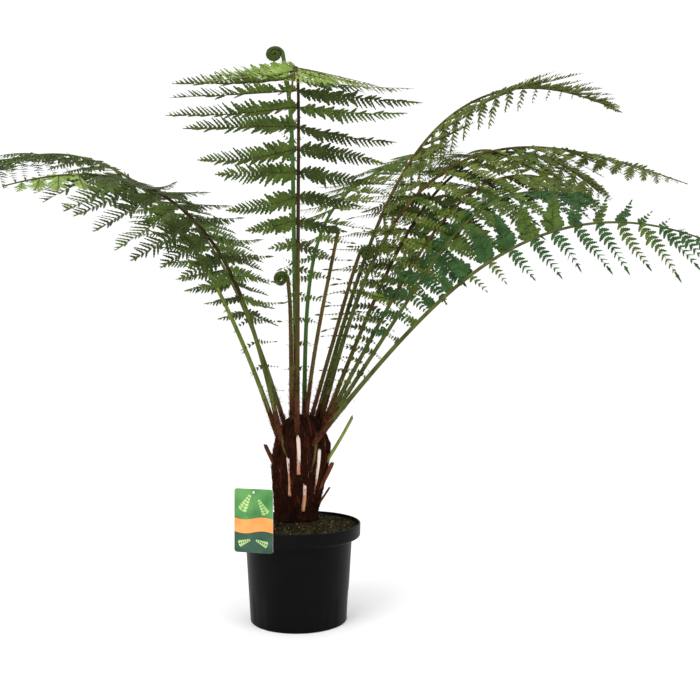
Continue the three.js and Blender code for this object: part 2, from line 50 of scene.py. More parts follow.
# Pot, soil and trunk, as the solids have them. Rings: height, radius and sideways shift.
POT_RIM_R = 115
POT_RIM_Z = 180
POT_BAND_H = 25
POT_BODY_TOP_R = 99
POT_BASE_R = 90
POT_WALL = 3
SOIL_Z = 186
SOIL_FLAT_R = 52
SOIL_EDGE_Z = 174
SOIL_EDGE_R = 110
TRUNK_RINGS = np.array([
    [186, 41, -5], [202, 39, -5], [228, 42, -2], [262, 48, 1], [300, 52, 3],
    [326, 50, 5], [346, 43, 5], [364, 34, 5], [376, 22, 6], [381, 9, 6],
])
TRUNK_RIDGES = 9
TRUNK_RIDGE_DEPTH = 2.2
TRUNK_TWIST = 0.004

# Their looks. CRUMBS: colour, count and largest radius. FIBRES, the fine roots: colour, count,
# length and how far their loose ends lift. HAIRS: colour and count.
POT_PANELS = 8
POT_PANEL_TOP = 62
POT_PANEL_DEPTH = 0.9
SOIL_CRUMBS = ((0, 1700, 2.6), (1, 260, 1.9))
OLD_BASES = 90
OLD_BASES_TURN = 137.5
TRUNK_FIBRES = ((0, 3600, 34, 1.4), (1, 2200, 26, 2.2), (2, 120, 20, 3.0))
TRUNK_HAIRS = ((0, 3000), (1, 2400))
STALK_HAIRS = ((0, 150), (1, 190), (2, 60))
STALK_HAIRS_REACH = 100
SHOOT_HAIRS = 1000
COIL_HAIRS = 160
HAIR_STRAY = 0.45
HAIR_CURL = 0.35

# Cut stubs of old fronds: direction in degrees, foot height, length, lean in degrees, radius, tint
STUBS = [
    (269, 282, 62, 2, 4.0, "cream"),
    (252, 242, 64, 10, 3.6, "tan"),
    (313, 244, 78, 13, 3.4, "cream"),
    (291, 213, 44, 13, 3.6, "tan"),
    (344, 290, 104, 31, 3.2, "green"),
    (335, 246, 56, 30, 4.4, "brown"),
    (182, 288, 40, 26, 4.2, "brown"),
    (352, 208, 46, 34, 2.2, "brown"),
    (125, 250, 60, 10, 4.0, "cream"),
    (92, 280, 58, 6, 3.8, "tan"),
    (55, 232, 62, 12, 3.6, "brown"),
    (18, 262, 52, 16, 4.0, "tan"),
    (152, 214, 48, 14, 3.4, "cream"),
]
STUB_SIDES = 9

# What most fronds have, what three of the right ones have instead, and their right sides
USUAL = dict(
    stalk=4.4, roll=(0, 0), ahead=12, bare=0, least=0.12, mixed=0.33, fresh=0.8, blunt=2.0,
    twist=30, tints=("olive", "leafy", "olive", "olive"), rib=("olive", "olive", "olive"),
)
RIGHT = dict(droop=0.3, swell=(0.8, 0.6), least=0.3, full=0.9, blunt=1.6, lace=1.4)
RIGHT_SIDE = dict(least=0.15, blunt=2.0, twist=10, lace=1.7)

# Fronds, by the rule of the solids, with angles in degrees. foot: direction, distance and height.
# heading and swing: the way it leans, and how far that turns. lean: angle from upright at foot and
# tip. turn: where it arches over, and how gently. stalk: its foot's radius. roll: tilt of its blade
# at foot and tip. droop: how far leaflets hang. pinna: the longest one. swell: how slowly they grow
# and shorten. ahead: how far they turn forward. bare: share of the leafy stretch without them.
# least: the lowest ones' share of pinna. left and right: what differs on that side.
# The rest is looks. tints: colours of most leaflets, of the share mixed of them, of the young ones
# past the place fresh, and of the points. full: how much of its room a leaflet fills. blunt: how
# far along it pinnules stay long. twist: how far they turn edge-on towards its tip. lace: how broad
# they are, in steps, but near its foot at least LACE_LEAST. rib: its colours past the hairy foot.
FRONDS = {
    "frond_front": dict(
        foot=(268, 36, 345), heading=278, swing=-8, length=975, lean=(4, 126), turn=(0.63, 0.18),
        roll=(-1, -1), droop=0.17, pinna=195, swell=(3.8, 2.8),
        tints=("deep", "leafy", "tip", "olive"), fresh=0.66, full=1.05,
        blunt=2.6, lace=1.1, rib=("brown", "dark", "brown"),
        left=dict(full=0.8), right=dict(mixed=1.0),
    ),
    "frond_left": dict(
        foot=(218, 38, 332), heading=222, swing=5, length=785, lean=(14, 120), turn=(0.64, 0.29),
        stalk=4.6, roll=(20, -15), droop=0.12, pinna=170, swell=(1.4, 0.9), least=0.2,
        tints=("deep", "leafy", "tip", "olive"), full=0.85,
        blunt=1.3, twist=8, lace=2.2, rib=("olive", "dark", "olive"),
        right=dict(roll=(80, -10), droop=0.2, ahead=20, pinna=142, swell=(3.4, 2), bare=0.05,
                   blunt=3, twist=26, lace=1.05, full=1.2),
    ),
    "frond_right_low": dict(
        foot=(303, 46, 326), heading=349, swing=4, length=885, lean=(38, 130), turn=(0.73, 0.31),
        stalk=4.6, roll=(70, 60), droop=0, pinna=94, swell=(2.2, 2), ahead=26,
        tints=("bluish", "leafy", "bluish", "bluish"), fresh=0.9, full=1.2,
        blunt=1.2, twist=0, lace=3,
        right=dict(roll=(80, 75), droop=0.35, ahead=50, pinna=88, swell=(3, 1), bare=0.38,
                   blunt=2.2, twist=42, lace=0.75, full=0.6),
    ),
    "frond_right_front": dict(
        foot=(328, 43, 338), heading=3, swing=3, length=745, lean=(33, 104), turn=(0.77, 0.15),
        **RIGHT, roll=(75, 8), pinna=150, tints=("bluish", "leafy", "bluish", "bluish"), fresh=0.9,
        twist=20, right=dict(RIGHT_SIDE, droop=0.35, pinna=130, swell=(2.4, 0.8)),
    ),
    "frond_right_mid": dict(
        foot=(344, 41, 345), heading=16, swing=3, length=845, lean=(29, 130), turn=(0.78, 0.21),
        # Its mixed leaflets take the paler yellow-green tint, a painted highlight
        **RIGHT, roll=(75, 6), pinna=160, tints=("leafy", "yellowish", "olive", "leafy"), fresh=0.7,
        rib=("olive", "brown", "brown"),
        right=dict(RIGHT_SIDE, droop=0.35, pinna=145, swell=(2, 0.8)),
    ),
    "frond_right_inner": dict(
        foot=(8, 40, 345), heading=25, swing=3, length=1020, lean=(23, 130), turn=(0.71, 0.25),
        **RIGHT, roll=(72, 2), pinna=165, tints=("deep", "olive", "olive", "olive"), fresh=0.6,
        rib=("brown", "dark", "brown"),
        right=dict(RIGHT_SIDE, droop=0.4, ahead=30, pinna=150, swell=(1.5, 0.8)),
    ),
    "frond_right_long": dict(
        foot=(30, 40, 345), heading=22, swing=-5, length=1200, lean=(14, 105), turn=(0.51, 0.24),
        stalk=4.6, roll=(60, 2), droop=0.3, pinna=160, swell=(0.9, 1.1),
        fresh=0.6, full=0.65, lace=0.9, rib=("olive", "brown", "olive"),
        right=dict(ahead=45, lace=1.3),
    ),
    "frond_right_top": dict(
        foot=(50, 40, 345), heading=30, swing=-5, length=1220, lean=(16, 112), turn=(0.67, 0.28),
        stalk=4.6, roll=(12, 0), droop=0, pinna=150, swell=(1.2, 0.8), ahead=64,
        mixed=0.1, full=0.75, twist=10, lace=1.5, rib=("olive", "brown", "brown"),
        left=dict(roll=(-40, -40), droop=0.3, ahead=0, pinna=130, swell=(1.2, 2.2),
                  blunt=2.4, twist=40, lace=0.8, full=0.7),
    ),
    "frond_back": dict(
        foot=(78, 38, 345), heading=63, swing=-6, length=1000, lean=(0, 68), turn=(0.4, 0.16),
        droop=0.15, pinna=150, swell=(1.2, 0.6), full=0.75, twist=40, lace=0.9,
        rib=("young", "young", "olive"),
    ),
    "frond_back_left": dict(
        foot=(126, 40, 340), heading=128, swing=-1, length=805, lean=(25, 71), turn=(0.56, 0.48),
        droop=0.25, pinna=140, swell=(1.3, 0.6), bare=0.25,
        tints=("deep", "leafy", "deep", "olive"), full=0.85, lace=1,
    ),
    "frond_left_outer": dict(
        foot=(165, 40, 335), heading=159, swing=-4, length=1060, lean=(19, 120), turn=(0.68, 0.37),
        stalk=4.6, droop=0.35, pinna=150, swell=(2.2, 0.6),
        tints=("deep", "leafy", "deep", "olive"), fresh=0.85, full=0.8,
        lace=1, rib=("green", "olive", "olive"),
        right=dict(pinna=110),
    ),
}
FRONDS = {name: {**USUAL, **own} for name, own in FRONDS.items()}
FROND_SPACING = 38
FROND_FIRST = 0.1
FROND_CROWDING = 1.2
FROND_STEPS = 64
FOOT_SINK = 22
RIB_TIP_R = 0.8
RIB_TAPER = 0.75
STALK_FLARE = 0.15
STALK_FLARE_REACH = 70
STALK_HAIRY_REACH = 72
RIB_SIDES = 8
RIB_CHANGES = (0.35, 0.75)
MIDRIB_RINGS = 9

# Leaflets. FORWARD: degrees at the frond's foot, and how many more at its very tip. SAG and SWEEP:
# mean and spread of how far one sags and curves forward, as shares of its length.
FORWARD = (-6, 40)
FORWARD_VARIES = 2.5
PINNA_VARIES = 0.12
BANK_VARIES = 11
DROOP_VARIES = (0.75, 1.25)
SAG = (0.05, 0.02)
SWEEP = (0.02, 0.035)
PALE_FROM = 0.72
PLAIN, MIXED, FRESH, POINT = range(4)

# Young shoots: a stalk that ends in a coil of radius, turns and the way it curls, in degrees.
# thick: the coiled limb's radius at its start and at its end. leaflet and hair: how long they are.
SHOOTS = {
    "frond_young": dict(
        foot=(110, 16, 352), heading=118, swing=-3, length=740, lean=(2, 22), turn=(0.82, 0.1),
        stalk=3.8, coil=(16.5, 1.6, 180), thick=(4.0, 3.6), leaflet=26, hair=2.0, tint="young",
    ),
    "crozier_left": dict(
        foot=(225, 17, 352), heading=228, swing=0, length=282, lean=(1, 8), turn=(0.83, 0.12),
        stalk=4.8, coil=(13, 1.6, 180), thick=(3.4, 2.9), leaflet=0, hair=3, tint="brown",
    ),
    "crozier_middle": dict(
        foot=(318, 17, 352), heading=325, swing=0, length=370, lean=(2, 15), turn=(0.2, 0.4),
        stalk=4.0, coil=(8, 0.6, 180), thick=(3, 5), leaflet=0, hair=3, tint="brown",
    ),
    "crozier_right": dict(
        foot=(25, 18, 352), heading=22, swing=0, length=355, lean=(17, 20), turn=(0.85, 0.1),
        stalk=4.0, coil=(13.5, 1.6, 0), thick=(3.4, 2.9), leaflet=0, hair=3, tint="brown",
    ),
}
YOUNG_BLADE = dict(
    swell=(1.2, 0.55), bare=0.2, droop=0.0, fresh=1.0, full=0.5, blunt=1.5, twist=50, lace=1,
)
COIL_RINGS = 54
COIL_TIGHTENS = 0.45

# Pinnules: the small blades along a leaflet. ANGLE from the midrib and FOLD up are degrees at the
# leaflet's foot, and how many more at its tip. VARIES: how far they stray in angle, fold and twist.
PINNULE_STEP = 7.5
PINNULE_LOBES = 4
PINNULE_ANGLE = (62, -26)
PINNULE_FOLD = (14, 14)
PINNULE_VARIES = (4, 8, 9)
PINNULE_LEAST = 2.2
PINNULE_SHORTEST = 1.2
LACE_LEAST = 1.7
LEAFLET_OVERLAP = 1.1
LEAFLET_SLENDER = 0.24
LEAFLET_TIP_W = 4.4
LIMB_CLEARANCE = 6

# Plant label, whose hook stands LABEL_HOOK_U beside the card's middle
LABEL_W = 72
LABEL_H = 112
LABEL_T = 1
LABEL_CORNER = 5
LABEL_HOLE_R = 2
LABEL_CENTRE = np.array([-73.7, -100.4, 202.0])
LABEL_TURN = -15
LABEL_HOOK_U = 24
LABEL_HOOK_W = 14
LABEL_BAND = (-20, 4)
SPRIG_PAIRS = 6
SPRIG_ANGLE = 62

random = np.random.default_rng(7)


def unit(v):
    return v / np.linalg.norm(v, axis=-1, keepdims=True)


def polar(direction, distance, height):
    a = math.radians(direction)
    return np.array([distance * math.cos(a), distance * math.sin(a), height])


def tone(red, green, blue):
    """Linear colour of an 8-bit display colour."""
    return tuple(((c / 255 + 0.055) / 1.055) ** 2.4 for c in (red, green, blue))


# Materials

def node(tree, kind, **inputs):
    """A new shader node with plain values on some of its sockets."""
    made = tree.nodes.new("ShaderNode" + kind)
    for socket, value in inputs.items():
        made.inputs[socket].default_value = value
    return made


def material(name, low, high, scale, roughness, grain, stretch=(1, 1, 1), gloss=0.2):
    """A finish whose colour wanders between two tones, with a fine grain in relief and gloss."""
    made = bpy.data.materials.new(name)
    made.use_nodes = True
    tree = made.node_tree
    link = tree.links.new
    shader = tree.nodes["Principled BSDF"]
    shader.inputs["Roughness"].default_value = roughness
    shader.inputs["Specular IOR Level"].default_value = gloss
    place = node(tree, "TexCoord")
    mapping = node(tree, "Mapping", Scale=stretch)
    link(place.outputs["Object"], mapping.inputs["Vector"])
    patches = node(tree, "TexNoise", Scale=scale, Detail=4)
    link(mapping.outputs["Vector"], patches.inputs["Vector"])
    ramp = node(tree, "ValToRGB")
    for end, position, colour in zip(ramp.color_ramp.elements, (0.32, 0.68), (low, high)):
        end.position = position
        end.color = (*colour, 1)
    link(patches.outputs["Fac"], ramp.inputs["Fac"])
    link(ramp.outputs["Color"], shader.inputs["Base Color"])
    fine = node(tree, "TexNoise", Scale=scale * 7, Detail=3)
    link(mapping.outputs["Vector"], fine.inputs["Vector"])
    bump = node(tree, "Bump", Strength=grain, Distance=GRAIN_RELIEF)
    link(fine.outputs["Fac"], bump.inputs["Height"])
    link(bump.outputs["Normal"], shader.inputs["Normal"])
    return made


def dull(name, low, high, scale, stretch=1):
    return material(name, tone(*low), tone(*high), scale, 0.9, 0.8, (1, 1, stretch), gloss=0.04)


def leaf(name, low, high):
    return material(name, tone(*low), tone(*high), scale=40, roughness=0.5, grain=0.15, gloss=0.12)


def printed(name, low, high, roughness=0.35):
    return material(name, tone(*low), tone(*high), scale=30, roughness=roughness, grain=0.05)


def family(stem, make, tones, **looks):
    """Finishes of one kind by name, each from its darker and its paler display colour."""
    return {name: make(f"{stem}_{name}", *pair, **looks) for name, pair in tones.items()}


LEAVES = family("leaf", leaf, {
    "deep": ((38, 51, 15), (61, 76, 28)),
    "leafy": ((54, 72, 23), (82, 103, 40)),
    "bluish": ((34, 62, 28), (54, 88, 42)),
    "yellowish": ((80, 100, 26), (112, 132, 42)),
    # A painted highlight: paler yellow-green for the leaflets mixed in at random on frond_right_mid
    "olive": ((68, 82, 28), (102, 115, 50)),
    "tip": ((100, 124, 48), (140, 162, 84)),
})
HAIRY = dull("stalk_hairy", (50, 26, 16), (90, 54, 34), 90, 0.15)
STALKS = family("stalk", dull, {
    "dark": ((32, 27, 14), (58, 50, 26)),
    "brown": ((52, 41, 20), (90, 77, 40)),
    "olive": ((54, 60, 27), (86, 94, 48)),
    "green": ((78, 92, 40), (112, 126, 60)),
    "young": ((46, 74, 34), (74, 102, 50)),
}, scale=60, stretch=0.2)
CUTS = family("cut", dull, {
    "cream": ((190, 162, 144), (224, 206, 196)),
    "tan": ((146, 90, 60), (204, 148, 116)),
    "brown": ((60, 32, 18), (104, 62, 38)),
    "green": ((92, 108, 44), (126, 140, 70)),
}, scale=90, stretch=0.15)
FIBRES = family("fibre", dull, {
    "dark": ((24, 10, 6), (44, 19, 11)),
    "red": ((42, 18, 10), (70, 32, 20)),
    "gold": ((94, 62, 34), (130, 92, 54)),
}, scale=80)
BARK = dull("bark", (16, 8, 5), (38, 18, 11), 45, 0.25)
SOIL = dull("soil", (26, 22, 14), (58, 54, 32), 70)
CRUMBS = family("crumb", dull, {
    "dark": ((22, 18, 12), (48, 42, 26)),
    "pale": ((84, 82, 52), (126, 122, 82)),
}, scale=120)
POT = material("pot_plastic", tone(3, 3, 3), tone(6, 6, 6), 24, 0.4, 0.25, gloss=0.06)
LABEL = family("label", printed, {
    "green": ((58, 116, 62), (98, 152, 84)),
    "dark": ((34, 62, 50), (60, 92, 74)),
    "orange": ((238, 138, 66), (248, 160, 92)),
    "pale": ((150, 186, 110), (186, 210, 140)),
})
LABEL["back"] = printed("label_back", (228, 228, 222), (238, 238, 232), roughness=0.4)


# Meshes

def placed(name, data):
    """A new object in the scene."""
    made = bpy.data.objects.new(name, data)
    bpy.context.scene.collection.objects.link(made)
    return made


def spread(sides):
    """Angles evenly round a circle."""
    return np.arange(sides) * 2 * math.pi / sides


class Patches:
    """Grows one mesh out of many small patches of triangles."""

    def __init__(self):
        self.points = []
        self.faces = []
        self.paints = []
        self.count = 0

    def add(self, points, faces, paint=0):
        self.points.append(points)
        self.faces.append(faces + self.count)
        self.paints.append(np.broadcast_to(paint, len(faces)))
        self.count += len(points)
        return self

    def piece(self, name, materials, slot, nodes, smooth=False):
        points = np.concatenate(self.points) * MM
        faces = np.concatenate(self.faces).astype(np.int32)
        mesh = bpy.data.meshes.new(name)
        mesh.vertices.add(len(points))
        mesh.vertices.foreach_set("co", points.astype(np.float32).ravel())
        mesh.loops.add(faces.size)
        mesh.loops.foreach_set("vertex_index", faces.ravel())
        mesh.polygons.add(len(faces))
        mesh.polygons.foreach_set("loop_start", np.arange(0, faces.size, 3, dtype=np.int32))
        mesh.polygons.foreach_set("material_index", np.concatenate(self.paints).astype(np.int32))
        mesh.polygons.foreach_set("use_smooth", np.full(len(faces), smooth))
        mesh.update(calc_edges=True)
        for used in materials:
            mesh.materials.append(used)
        made = placed(name, mesh)
        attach(made, "root")
        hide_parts(*nodes)
        return made


def ring_faces(rings, sides):
    """Triangles of a tube of rings, with both ends closed."""
    r, k = np.meshgrid(np.arange(rings - 1), np.arange(sides), indexing="ij")
    a = (r * sides + k).ravel()
    b = (r * sides + (k + 1) % sides).ravel()
    walls = np.concatenate([np.stack([a, b, b + sides], 1), np.stack([a, b + sides, a + sides], 1)])
    fan = np.arange(1, sides - 1)
    start = np.stack([np.zeros_like(fan), fan + 1, fan], 1)
    end = np.stack([np.zeros_like(fan), fan, fan + 1], 1) + (rings - 1) * sides
    return np.concatenate([walls, start, end])


def tube(points, radii, sides):
    """A tapering tube along points, its section carried along without twist."""
    points = np.asarray(points, float)
    tangents = unit(np.gradient(points, axis=0))
    angles = spread(sides)
    across = np.array([0.0, 1.0, 0.0])
    rings = []
    for point, tangent, radius in zip(points, tangents, radii):
        across = unit(across - tangent * across.dot(tangent))
        over = np.cross(tangent, across)
        spokes = np.outer(np.cos(angles), across) + np.outer(np.sin(angles), over)
        rings.append(point + radius * spokes)
    return np.vstack(rings), ring_faces(len(points), sides)


def strands(points, radii, sides=3):
    """Thin tubes: points has one row of ring centres for each strand, radii one number a ring."""
    count, rings, _ = points.shape
    tangents = unit(np.gradient(points, axis=1))
    lean = np.abs(tangents[..., 2:]) > 0.9
    other = np.where(lean, np.array([1.0, 0.0, 0.0]), UP)
    across = unit(np.cross(tangents, other))
    over = np.cross(tangents, across)
    angles = spread(sides)
    radii = np.broadcast_to(radii, (count, rings))[..., None, None]
    skin = points[:, :, None] + radii * (
        np.cos(angles)[:, None] * across[:, :, None] + np.sin(angles)[:, None] * over[:, :, None]
    )
    faces = ring_faces(rings, sides)
    shift = np.arange(count)[:, None, None] * rings * sides
    return skin.reshape(-1, 3), (faces + shift).reshape(-1, 3)


# Fronds: the rule of the solids

def rib_path(frond):
    t = (np.arange(FROND_STEPS) + 0.5) / FROND_STEPS
    over = 0.5 + 0.5 * np.tanh((t - frond["turn"][0]) / frond["turn"][1])
    lean = np.radians(frond["lean"][0] + (frond["lean"][1] - frond["lean"][0]) * over)
    heading = np.radians(frond["heading"] + frond["swing"] * t)
    tangents = np.stack([
        np.sin(lean) * np.cos(heading),
        np.sin(lean) * np.sin(heading),
        np.cos(lean),
    ], 1)
    steps = tangents * frond["length"] / FROND_STEPS
    points = polar(*frond["foot"]) + np.vstack([np.zeros(3), np.cumsum(steps, axis=0)])
    return points, np.vstack([tangents, tangents[-1:]])


def along(path, t):
    points, tangents = path
    place = np.minimum(t * FROND_STEPS, FROND_STEPS - 1e-6)
    i = np.floor(place).astype(int)
    part = (place - i)[:, None]
    return points[i] * (1 - part) + points[i + 1] * part, tangents[i]


def rib_radius(frond, t):
    """The rib's radius at t. Its foot swells out into the crown."""
    flare = 1 + STALK_FLARE * np.exp(-(t * frond["length"] / STALK_FLARE_REACH) ** 2)
    return (RIB_TIP_R + (frond["stalk"] - RIB_TIP_R) * (1 - t) ** RIB_TAPER) * flare


def pair_count(frond):
    return round(frond["length"] * (1 - FROND_FIRST) / FROND_SPACING)


def pinna_share(u, swell, least):
    foot, tip = swell.T
    peak = foot / (foot + tip)
    share = u ** foot * (1 - u) ** tip / (peak ** foot * (1 - peak) ** tip)
    return np.where(u < 0.5, np.maximum(share, least), share)


def by_side(frond, key, hand):
    """What the frond's left or right side has for key, for each leaflet."""
    left, right = (frond.get(side, {}).get(key, frond[key]) for side in ("left", "right"))
    hand = hand[:, None] if np.ndim(left) else hand
    return np.where(hand > 0, left, right)


def dot(a, b):
    return np.sum(a * b, -1, keepdims=True)


def pinna_frames(frond, path):
    """Root, direction, width direction, upper side, reach and place u of every leaflet."""
    pair = np.repeat(np.arange(pair_count(frond)), 2)
    hand = np.tile([1.0, -1.0], pair_count(frond))
    u = 1 - (1 - (pair + 0.6) / pair_count(frond)) ** FROND_CROWDING
    t = FROND_FIRST + (1 - FROND_FIRST) * u
    root, tangent = along(path, t)
    level = unit(np.cross(UP, tangent))
    above = unit(np.cross(tangent, level))
    roll = by_side(frond, "roll", hand)
    tilt = np.radians(roll[:, 0] + (roll[:, 1] - roll[:, 0]) * t) * hand
    side = level * (hand * np.cos(tilt))[:, None] + above * np.sin(tilt)[:, None]
    forward = np.radians(FORWARD[0] + by_side(frond, "ahead", hand) * u + FORWARD[1] * u ** 4)
    forward = forward + np.radians(random.normal(0, FORWARD_VARIES, len(u)))
    out = unit(side * np.cos(forward)[:, None] + tangent * np.sin(forward)[:, None])
    width = unit(tangent - out * dot(tangent, out))
    normal = np.cross(out, width)
    bank = np.radians(random.normal(0, BANK_VARIES, len(u)))[:, None]
    cos, sin = np.cos(bank), np.sin(bank)
    width, normal = width * cos + normal * sin, normal * cos - width * sin
    varied = 1 - PINNA_VARIES + 2 * PINNA_VARIES * random.random(len(u))
    share = pinna_share(u, by_side(frond, "swell", hand), by_side(frond, "least", hand))
    reach = by_side(frond, "pinna", hand) * share * varied
    found = dict(root=root, out=out, width=width, normal=normal, reach=reach, u=u, hand=hand)
    leafy = u >= by_side(frond, "bare", hand)
    return {key: value[leafy] for key, value in found.items()}


def pinna_habit(frond, pinna):
    """Adds how each leaflet hangs and what colour it has."""
    count = len(pinna["u"])
    pinna["droop"] = by_side(frond, "droop", pinna["hand"]) * random.uniform(*DROOP_VARIES, count)
    pinna["sag"] = random.normal(*SAG, count)
    pinna["sweep"] = random.normal(*SWEEP, count)
    pinna["pale_from"] = PALE_FROM + 0.5 * random.random(count)
    mixed = random.random(count) < by_side(frond, "mixed", pinna["hand"])
    pinna["tint"] = np.where(mixed, MIXED, PLAIN)
    pinna["tint"][pinna["u"] > frond["fresh"] + random.normal(0, 0.04, count)] = FRESH
    return pinna


def spine(pinna, s):
    """Points at s of each leaflet's midrib, and its direction there. It droops, and it sags."""
    reach = pinna["reach"][:, None, None]
    droop, sag, sweep = (pinna[key][:, None] for key in ("droop", "sag", "sweep"))
    drop = droop * s ** 2 + sag * np.sin(math.pi * s)
    slope = 2 * droop * s + sag * math.pi * np.cos(math.pi * s)
    points = pinna["root"][:, None] + reach * (
        pinna["out"][:, None] * s[..., None]
        + pinna["width"][:, None] * (sweep * s ** 2)[..., None]
        - UP * drop[..., None]
    )
    course = unit(
        pinna["out"][:, None]
        + pinna["width"][:, None] * (2 * sweep * s)[..., None]
        - UP * slope[..., None]
    )
    return points, course


def half_width(x):
    """Half the width of a pinnule at x: soon full, then rounding off to its point."""
    return min(1, 0.75 + 3 * x) * (1 - x) ** 0.4 * 0.5


def pinnule_shape(lobes):
    """A lobed blade, one unit long and one wide: points (along, across, above) and triangles."""
    points = [(k / lobes, 0.0, 0.0) for k in range(lobes + 1)]
    faces = []
    for side in (1, -1):
        notches = []
        for k in range(lobes):
            x = k / lobes + 0.015
            y = side * half_width(x) * (0.62 if k else 0.7)
            notches.append(len(points))
            points.append((x, y, -0.12 * abs(y)))
        notches.append(lobes)
        for k in range(lobes):
            x = (k + 0.72) / lobes
            y = side * half_width(x)
            tip = len(points)
            points.append((x, y, -0.22 * abs(y)))
            fan = [(k, notches[k], tip), (k, tip, k + 1)]
            if k + 1 < lobes:
                fan.append((k + 1, tip, notches[k + 1]))
            faces += [f if side < 0 else f[::-1] for f in fan]
    return np.array(points), np.array(faces)


PINNULE = pinnule_shape(PINNULE_LOBES)


def pinnule_places(pinna):
    """The leaflet that each pinnule sits on, and its place s along it."""
    counts = np.maximum(4, np.round(pinna["reach"] / PINNULE_STEP)).astype(int)
    owner = np.repeat(np.arange(len(counts)), counts)
    order = np.arange(len(owner)) - np.repeat(np.cumsum(counts) - counts, counts)
    return owner, (order + 0.7) / (np.repeat(counts, counts) + 0.3)


def pinnule_reach(frond, part, s):
    """How far pinnules stand out from the midrib. Low leaflets are slender and taper all along."""
    room = LEAFLET_OVERLAP * frond["length"] * (1 - FROND_FIRST) / pair_count(frond)
    slender = np.clip(0.3 + 1.5 * part["u"], 0, 1)
    half = by_side(frond, "full", part["hand"]) * slender * room / 2
    half = np.minimum(half, part["reach"] * LEAFLET_SLENDER)
    blunt = by_side(frond, "blunt", part["hand"]) * np.clip(part["u"] / 0.45, 0.35, 1)
    half = half * (0.72 + 0.28 * np.minimum(1, s / 0.14)) * (1 - s ** blunt) ** 0.9
    return np.maximum(half, PINNULE_LEAST * (1.15 - s))


def pinnule_breadth(frond, part, outer):
    """How broad pinnules are, in pinnule steps. Those low on the frond are broader."""
    lace = by_side(frond, "lace", part["hand"])
    broad = np.maximum(LACE_LEAST, lace) * (1 - outer) + 0.8 * lace * outer
    return broad + np.clip(2 - 5 * part["u"], 0, 1)


def pinnule_axes(midrib, bend, fold, turn, side):
    """The way each pinnule points, the direction of its width, and its upper side."""
    course, across, above = midrib
    axis = unit(
        course * np.cos(bend)[:, None]
        + across * (side * np.sin(bend) * np.cos(fold))[:, None]
        + above * np.sin(fold)[:, None]
    )
    flat = unit(course - axis * dot(course, axis))
    normal = np.cross(axis, flat) * side
    wide = flat * np.cos(turn)[:, None] - normal * np.sin(turn)[:, None]
    return axis, wide, np.cross(axis, wide) * side


def pinnules(frond, pinna, limbs):
    """The blades on both sides of every leaflet's midrib, and the leaflets' points."""
    base, base_faces = PINNULE
    owner, s = pinnule_places(pinna)
    part = {key: value[owner] for key, value in pinna.items()}
    centre, course = (found[:, 0] for found in spine(part, s[:, None]))
    across = unit(part["width"] - course * dot(part["width"], course))
    above = np.cross(across, course)
    above *= np.sign(dot(above, part["normal"]))
    half = pinnule_reach(frond, part, s)
    outer = np.clip((s - 0.2) / 0.4, 0, 1)
    broad = pinnule_breadth(frond, part, outer)
    twist = by_side(frond, "twist", part["hand"]) * outer
    angle = np.radians(PINNULE_ANGLE[0] + PINNULE_ANGLE[1] * s)
    made = Patches()
    for side in (1, -1):
        jitter = random.normal(0, 1, (3, len(s)))
        bend = angle + np.radians(PINNULE_VARIES[0]) * jitter[0]
        fold = np.radians(PINNULE_FOLD[0] + PINNULE_FOLD[1] * s + PINNULE_VARIES[1] * jitter[1])
        turn = np.radians(twist + PINNULE_VARIES[2] * jitter[2])
        axis, wide, normal = pinnule_axes((course, across, above), bend, fold, turn, side)
        length = half / np.sin(angle) * (1 + 0.06 * jitter[0])
        breadth = np.minimum(PINNULE_STEP * broad, (0.4 + 0.18 * broad) * length)
        points = (
            centre[:, None]
            + axis[:, None] * (base[None, :, :1] * length[:, None, None])
            + wide[:, None] * (side * base[None, :, 1:2] * breadth[:, None, None])
            + normal[:, None] * (base[None, :, 2:] * breadth[:, None, None])
        )
        middle_and_tip = points[:, [PINNULE_LOBES // 2, PINNULE_LOBES]]
        keep = clear_of(middle_and_tip, limbs) & (length > PINNULE_SHORTEST)
        shift = np.arange(keep.sum())[:, None, None] * len(base)
        faces = (base_faces + shift).reshape(-1, 3)
        tint = np.where(s > part["pale_from"], POINT, part["tint"])[keep]
        made.add(points[keep].reshape(-1, 3), faces, np.repeat(tint, len(base_faces)))
    return made.add(*pinna_points(pinna), POINT)


def pinna_points(pinna):
    """The drawn-out point of every leaflet: a narrow blade past its last pinnules."""
    places = np.array([0.84, 0.9, 0.96, 1.0])
    widths = np.array([0.7, 1.0, 0.6, 0.05])
    count = len(pinna["u"])
    centre, course = spine(pinna, np.broadcast_to(places, (count, len(places))))
    across = unit(pinna["width"][:, None] - course * dot(pinna["width"][:, None], course))
    half = np.minimum(LEAFLET_TIP_W / 2, pinna["reach"] * 0.025)[:, None] * widths
    edges = [centre + across * (side * half)[..., None] for side in (1, -1)]
    points = np.stack(edges, 2).reshape(-1, 3)
    faces = np.array([f for k in (0, 2, 4) for f in ((k, k + 1, k + 3), (k, k + 3, k + 2))])
    shift = np.arange(count)[:, None, None] * 2 * len(places)
    return points, (faces + shift).reshape(-1, 3)


def clear_of(points, limbs):
    """Whether each row of points keeps its distance from all the limbs' points."""
    keep = np.ones(len(points), bool)
    low = points.min((0, 1)) - LIMB_CLEARANCE
    high = points.max((0, 1)) + LIMB_CLEARANCE
    near = limbs[np.all((limbs > low) & (limbs < high), 1)]
    for start in range(0, len(near), 200):
        gaps = points[:, :, None] - near[None, None, start:start + 200]
        keep &= (gaps ** 2).sum(3).min((1, 2)) > LIMB_CLEARANCE ** 2
    return keep


